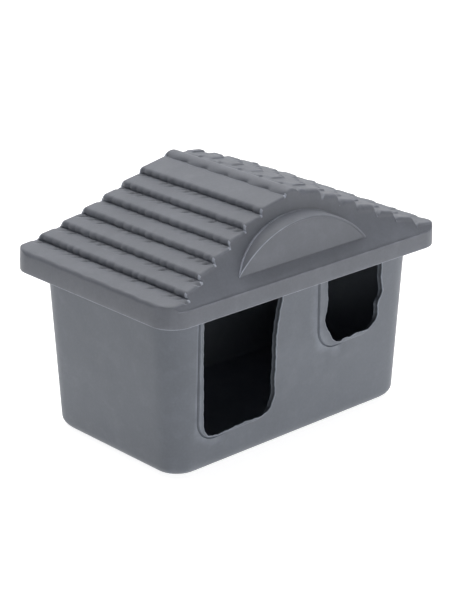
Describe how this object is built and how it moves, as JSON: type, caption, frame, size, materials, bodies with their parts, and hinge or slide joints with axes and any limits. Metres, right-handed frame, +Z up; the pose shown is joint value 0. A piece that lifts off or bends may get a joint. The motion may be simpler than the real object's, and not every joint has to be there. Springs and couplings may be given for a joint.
{
  "type": "rodent house",
  "caption": "Plastic house for a small rodent: a drafted open tub with a doorway and a window cut in its front wall, under a lift-off roof with stepped tile courses and curved gables.",
  "frame": {"origin": "middle of the roof's footprint on the floor that the tub stands on", "axes": "+X across the front from the doorway towards the window, +Y from the front wall to the back, along the ridge, +Z up"},
  "size_m": [0.15, 0.098, 0.1058],
  "materials": {
    "tub_plastic": "satin grey moulded plastic",
    "roof_plastic": "satin grey moulded plastic"
  },
  "bodies": {
    "house": {"tub": "tub_plastic"},
    "lid": {"roof": "roof_plastic"}
  },
  "joints": [
    {"name": "roof_lift", "type": "slide", "parent": "house", "child": "lid", "axis": [0, 0, 1], "range_m": [0, 0.06]}
  ]
}
